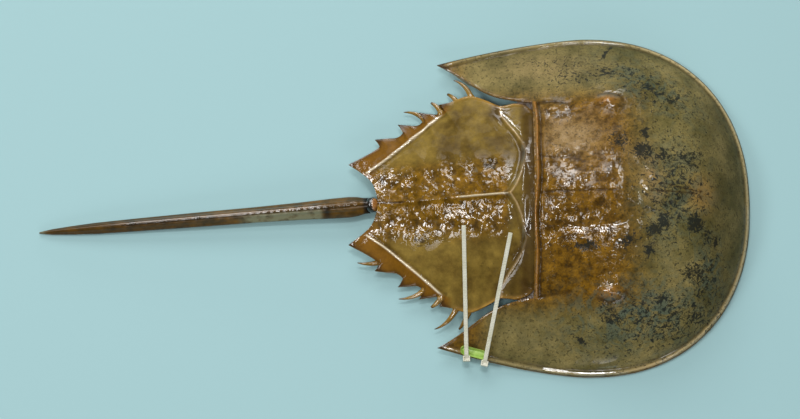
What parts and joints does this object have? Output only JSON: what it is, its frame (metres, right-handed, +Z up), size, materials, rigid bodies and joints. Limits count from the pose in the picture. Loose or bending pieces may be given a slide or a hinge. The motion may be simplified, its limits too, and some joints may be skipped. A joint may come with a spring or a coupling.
{
  "type": "horseshoe crab shell",
  "caption": "Hollow armoured shell of a horseshoe crab, with a hinged toothed abdomen, a long jointed tail spine and a tag tied to its rim.",
  "frame": {"origin": "middle of the bounding box, on the surface that the shell lies on", "axes": "+X along the body towards the head, +Y to the shell's left, +Z up from the surface that it lies on"},
  "size_m": [0.4328, 0.21, 0.0532],
  "materials": {
    "head_chitin": "wet mottled olive-brown chitin",
    "abdomen_chitin": "wet golden-brown chitin",
    "tail_chitin": "wet dark-brown chitin",
    "joint_membrane": "wet soft cuticle, nearly black",
    "tag_plastic": "satin lime-green plastic",
    "tie_nylon": "translucent natural nylon"
  },
  "bodies": {
    "head": {"head_shield": "head_chitin", "tag": "tag_plastic", "rear_cable_tie": "tie_nylon", "front_cable_tie": "tie_nylon"},
    "abdomen": {"abdomen_shield": "abdomen_chitin"},
    "tail_base": {"tail_joint": "joint_membrane"},
    "tail": {"tail_spine": "tail_chitin"}
  },
  "joints": [
    {"name": "body_hinge", "type": "hinge", "parent": "head", "child": "abdomen", "pos_m": [0.0839, 0, 0.022], "axis": [0, -1, 0], "range_deg": [-5, 30]},
    {"name": "tail_swing", "type": "hinge", "parent": "abdomen", "child": "tail_base", "pos_m": [-0.0137, 0, 0.0084], "axis": [0, 0, 1], "range_deg": [-29, 20]},
    {"name": "tail_lift", "type": "hinge", "parent": "tail_base", "child": "tail", "pos_m": [-0.0137, 0, 0.0084], "axis": [-0.0785, 0.9969, 0], "range_deg": [-15, 45]}
  ]
}
